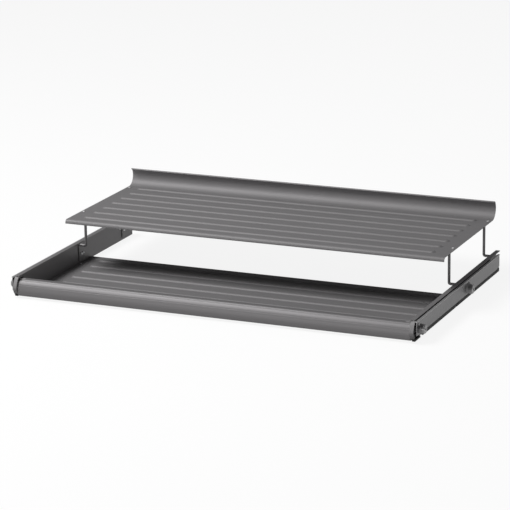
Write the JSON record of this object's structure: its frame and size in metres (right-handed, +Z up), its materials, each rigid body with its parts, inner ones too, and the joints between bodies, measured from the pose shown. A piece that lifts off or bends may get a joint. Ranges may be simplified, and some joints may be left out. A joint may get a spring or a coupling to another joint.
{
  "type": "pull out shoe rack",
  "caption": "Pull-out wardrobe shoe rack: a ribbed lower tray and a raised ribbed shelf with an upswept rear lip, on roller runners, behind a rounded front rail.",
  "frame": {"origin": "bottom centre of the whole rack, closed", "axes": "+X to the rack's right as seen from the front, +Y into the wardrobe, +Z up"},
  "size_m": [0.964, 0.58, 0.1631],
  "materials": {
    "shelf_coat": "dark grey powder coat, fine grain",
    "frame_coat": "dark grey powder coat, satin",
    "rail_coat": "mid grey satin coat on an extruded profile",
    "cap_plastic": "mid grey moulded plastic",
    "black_plastic": "black moulded plastic",
    "runner_steel": "grey coated rolled steel, slightly mottled",
    "zinc_steel": "zinc plated steel"
  },
  "bodies": {
    "runners": {"cabinet_runner_right": "runner_steel", "cabinet_runner_left": "runner_steel", "front_glide_right": "black_plastic", "front_glide_left": "black_plastic", "rear_glide_right": "black_plastic", "rear_glide_left": "black_plastic", "front_axle_right": "zinc_steel", "front_axle_left": "zinc_steel"},
    "tray": {"front_rail": "rail_coat", "lower_tray": "shelf_coat", "upper_shelf": "shelf_coat", "end_cap_right": "cap_plastic", "end_cap_left": "cap_plastic", "front_bracket_right": "black_plastic", "front_bracket_left": "black_plastic", "side_rail_right": "frame_coat", "side_rail_left": "frame_coat", "rear_axle_right": "zinc_steel", "rear_axle_left": "zinc_steel", "front_leg_right": "frame_coat", "front_leg_left": "frame_coat", "rear_leg_right": "frame_coat", "rear_leg_left": "frame_coat", "front_wall_plate_right": "frame_coat", "front_wall_plate_left": "frame_coat", "rear_wall_plate_right": "frame_coat", "rear_wall_plate_left": "frame_coat", "plate_screw_1_right": "zinc_steel", "plate_screw_1_left": "zinc_steel", "plate_screw_2_right": "zinc_steel", "plate_screw_2_left": "zinc_steel", "plate_screw_3_right": "zinc_steel", "plate_screw_3_left": "zinc_steel", "plate_screw_4_right": "zinc_steel", "plate_screw_4_left": "zinc_steel", "front_shelf_screw_right": "zinc_steel", "front_shelf_screw_left": "zinc_steel", "rear_shelf_screw_right": "zinc_steel", "rear_shelf_screw_left": "zinc_steel", "tray_rivet_1_right": "zinc_steel", "tray_rivet_1_left": "zinc_steel", "tray_rivet_2_right": "zinc_steel", "tray_rivet_2_left": "zinc_steel", "rail_screw_1": "zinc_steel", "rail_screw_2": "zinc_steel", "rail_screw_3": "zinc_steel", "rail_screw_4": "zinc_steel"},
    "front_roller_right": {"front_roller_right": "black_plastic"},
    "front_roller_left": {"front_roller_left": "black_plastic"},
    "rear_roller_right": {"rear_roller_right": "black_plastic"},
    "rear_roller_left": {"rear_roller_left": "black_plastic"}
  },
  "joints": [
    {"name": "tray_slide", "type": "slide", "parent": "runners", "child": "tray", "axis": [0, -1, 0], "range_m": [0, 0.4]},
    {"name": "front_roller_right_spin", "type": "hinge", "parent": "runners", "child": "front_roller_right", "pos_m": [0.46185, -0.2688, 0.038], "axis": [1, 0, 0], "range_deg": [0, 2230]},
    {"name": "front_roller_left_spin", "type": "hinge", "parent": "runners", "child": "front_roller_left", "pos_m": [-0.46185, -0.2688, 0.038], "axis": [1, 0, 0], "range_deg": [0, 2230]},
    {"name": "rear_roller_right_spin", "type": "hinge", "parent": "tray", "child": "rear_roller_right", "pos_m": [0.462, 0.2172, 0.0318], "axis": [1, 0, 0], "range_deg": [0, 1700]},
    {"name": "rear_roller_left_spin", "type": "hinge", "parent": "tray", "child": "rear_roller_left", "pos_m": [-0.462, 0.2172, 0.0318], "axis": [1, 0, 0], "range_deg": [0, 1700]}
  ],
  "couplings": [
    {"joint": "front_roller_right_spin", "follows": "tray_slide", "rad_per_m": 97.087},
    {"joint": "front_roller_left_spin", "follows": "tray_slide", "rad_per_m": 97.087},
    {"joint": "rear_roller_right_spin", "follows": "tray_slide", "rad_per_m": 74.074},
    {"joint": "rear_roller_left_spin", "follows": "tray_slide", "rad_per_m": 74.074}
  ]
}
